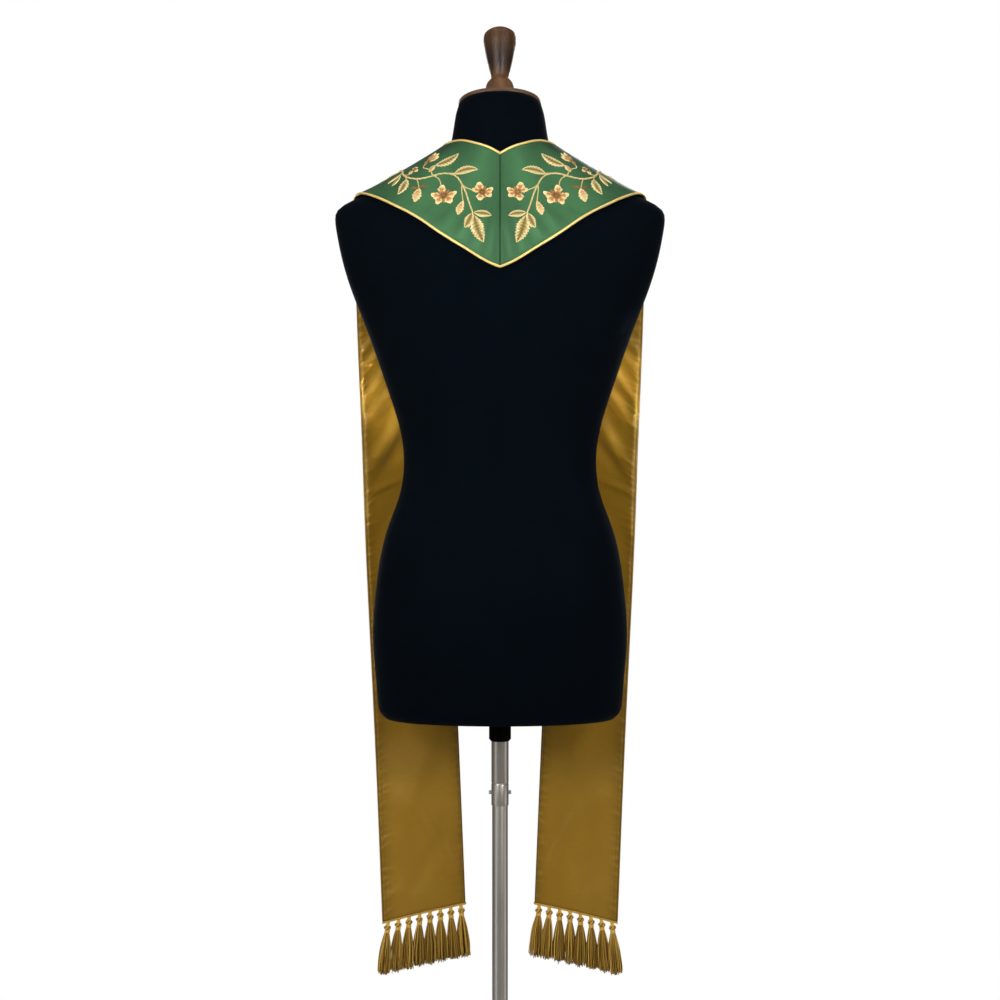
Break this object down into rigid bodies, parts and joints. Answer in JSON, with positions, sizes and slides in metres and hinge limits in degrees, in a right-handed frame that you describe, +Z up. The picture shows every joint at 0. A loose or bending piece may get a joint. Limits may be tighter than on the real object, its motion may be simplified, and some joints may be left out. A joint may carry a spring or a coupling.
{
  "type": "clerical stole on a dress form",
  "caption": "Shaped clerical stole in green satin with gold piping, lining and tasselled hems, worn on a black limbless dress form on a pole and a round base.",
  "frame": {"origin": "middle of the base plate's underside, on the surface that the stand is on", "axes": "+Z up along the pole; the wearer would face -Y; +X is the wearer's left, so the part mirrors across X = 0"},
  "size_m": [0.428, 0.36, 1.6052],
  "materials": {
    "green_satin": "green satin weave with a soft sheen along the pile of the warp",
    "gold_satin": "old gold satin weave, softly glossy",
    "gold_cord": "smooth bright gold satin over a cord",
    "gold_yarn": "twisted gold rayon yarn",
    "black_jersey": "matte black knitted jersey",
    "walnut": "dark turned walnut with a satin varnish",
    "black_plastic": "matte black",
    "brushed_steel": "fine brushed along the tube"
  },
  "bodies": {
    "root": {"face_left": "green_satin", "face_right": "green_satin", "lining_left": "gold_satin", "lining_right": "gold_satin", "piping_neck": "gold_cord", "piping_outer": "gold_cord", "braid_left": "gold_yarn", "braid_right": "gold_yarn", "tassel_left_1": "gold_yarn", "tassel_left_2": "gold_yarn", "tassel_left_3": "gold_yarn", "tassel_left_4": "gold_yarn", "tassel_left_5": "gold_yarn", "tassel_left_6": "gold_yarn", "tassel_left_7": "gold_yarn", "tassel_left_8": "gold_yarn", "tassel_right_1": "gold_yarn", "tassel_right_2": "gold_yarn", "tassel_right_3": "gold_yarn", "tassel_right_4": "gold_yarn", "tassel_right_5": "gold_yarn", "tassel_right_6": "gold_yarn", "tassel_right_7": "gold_yarn", "tassel_right_8": "gold_yarn", "form_body": "black_jersey", "neck_cap": "walnut", "neck_finial": "walnut", "form_socket": "black_plastic", "base_plate": "brushed_steel", "base_boss": "brushed_steel", "lower_tube": "brushed_steel", "upper_tube": "brushed_steel", "spring_button_left": "brushed_steel", "spring_button_right": "brushed_steel"}
  },
  "joints": []
}
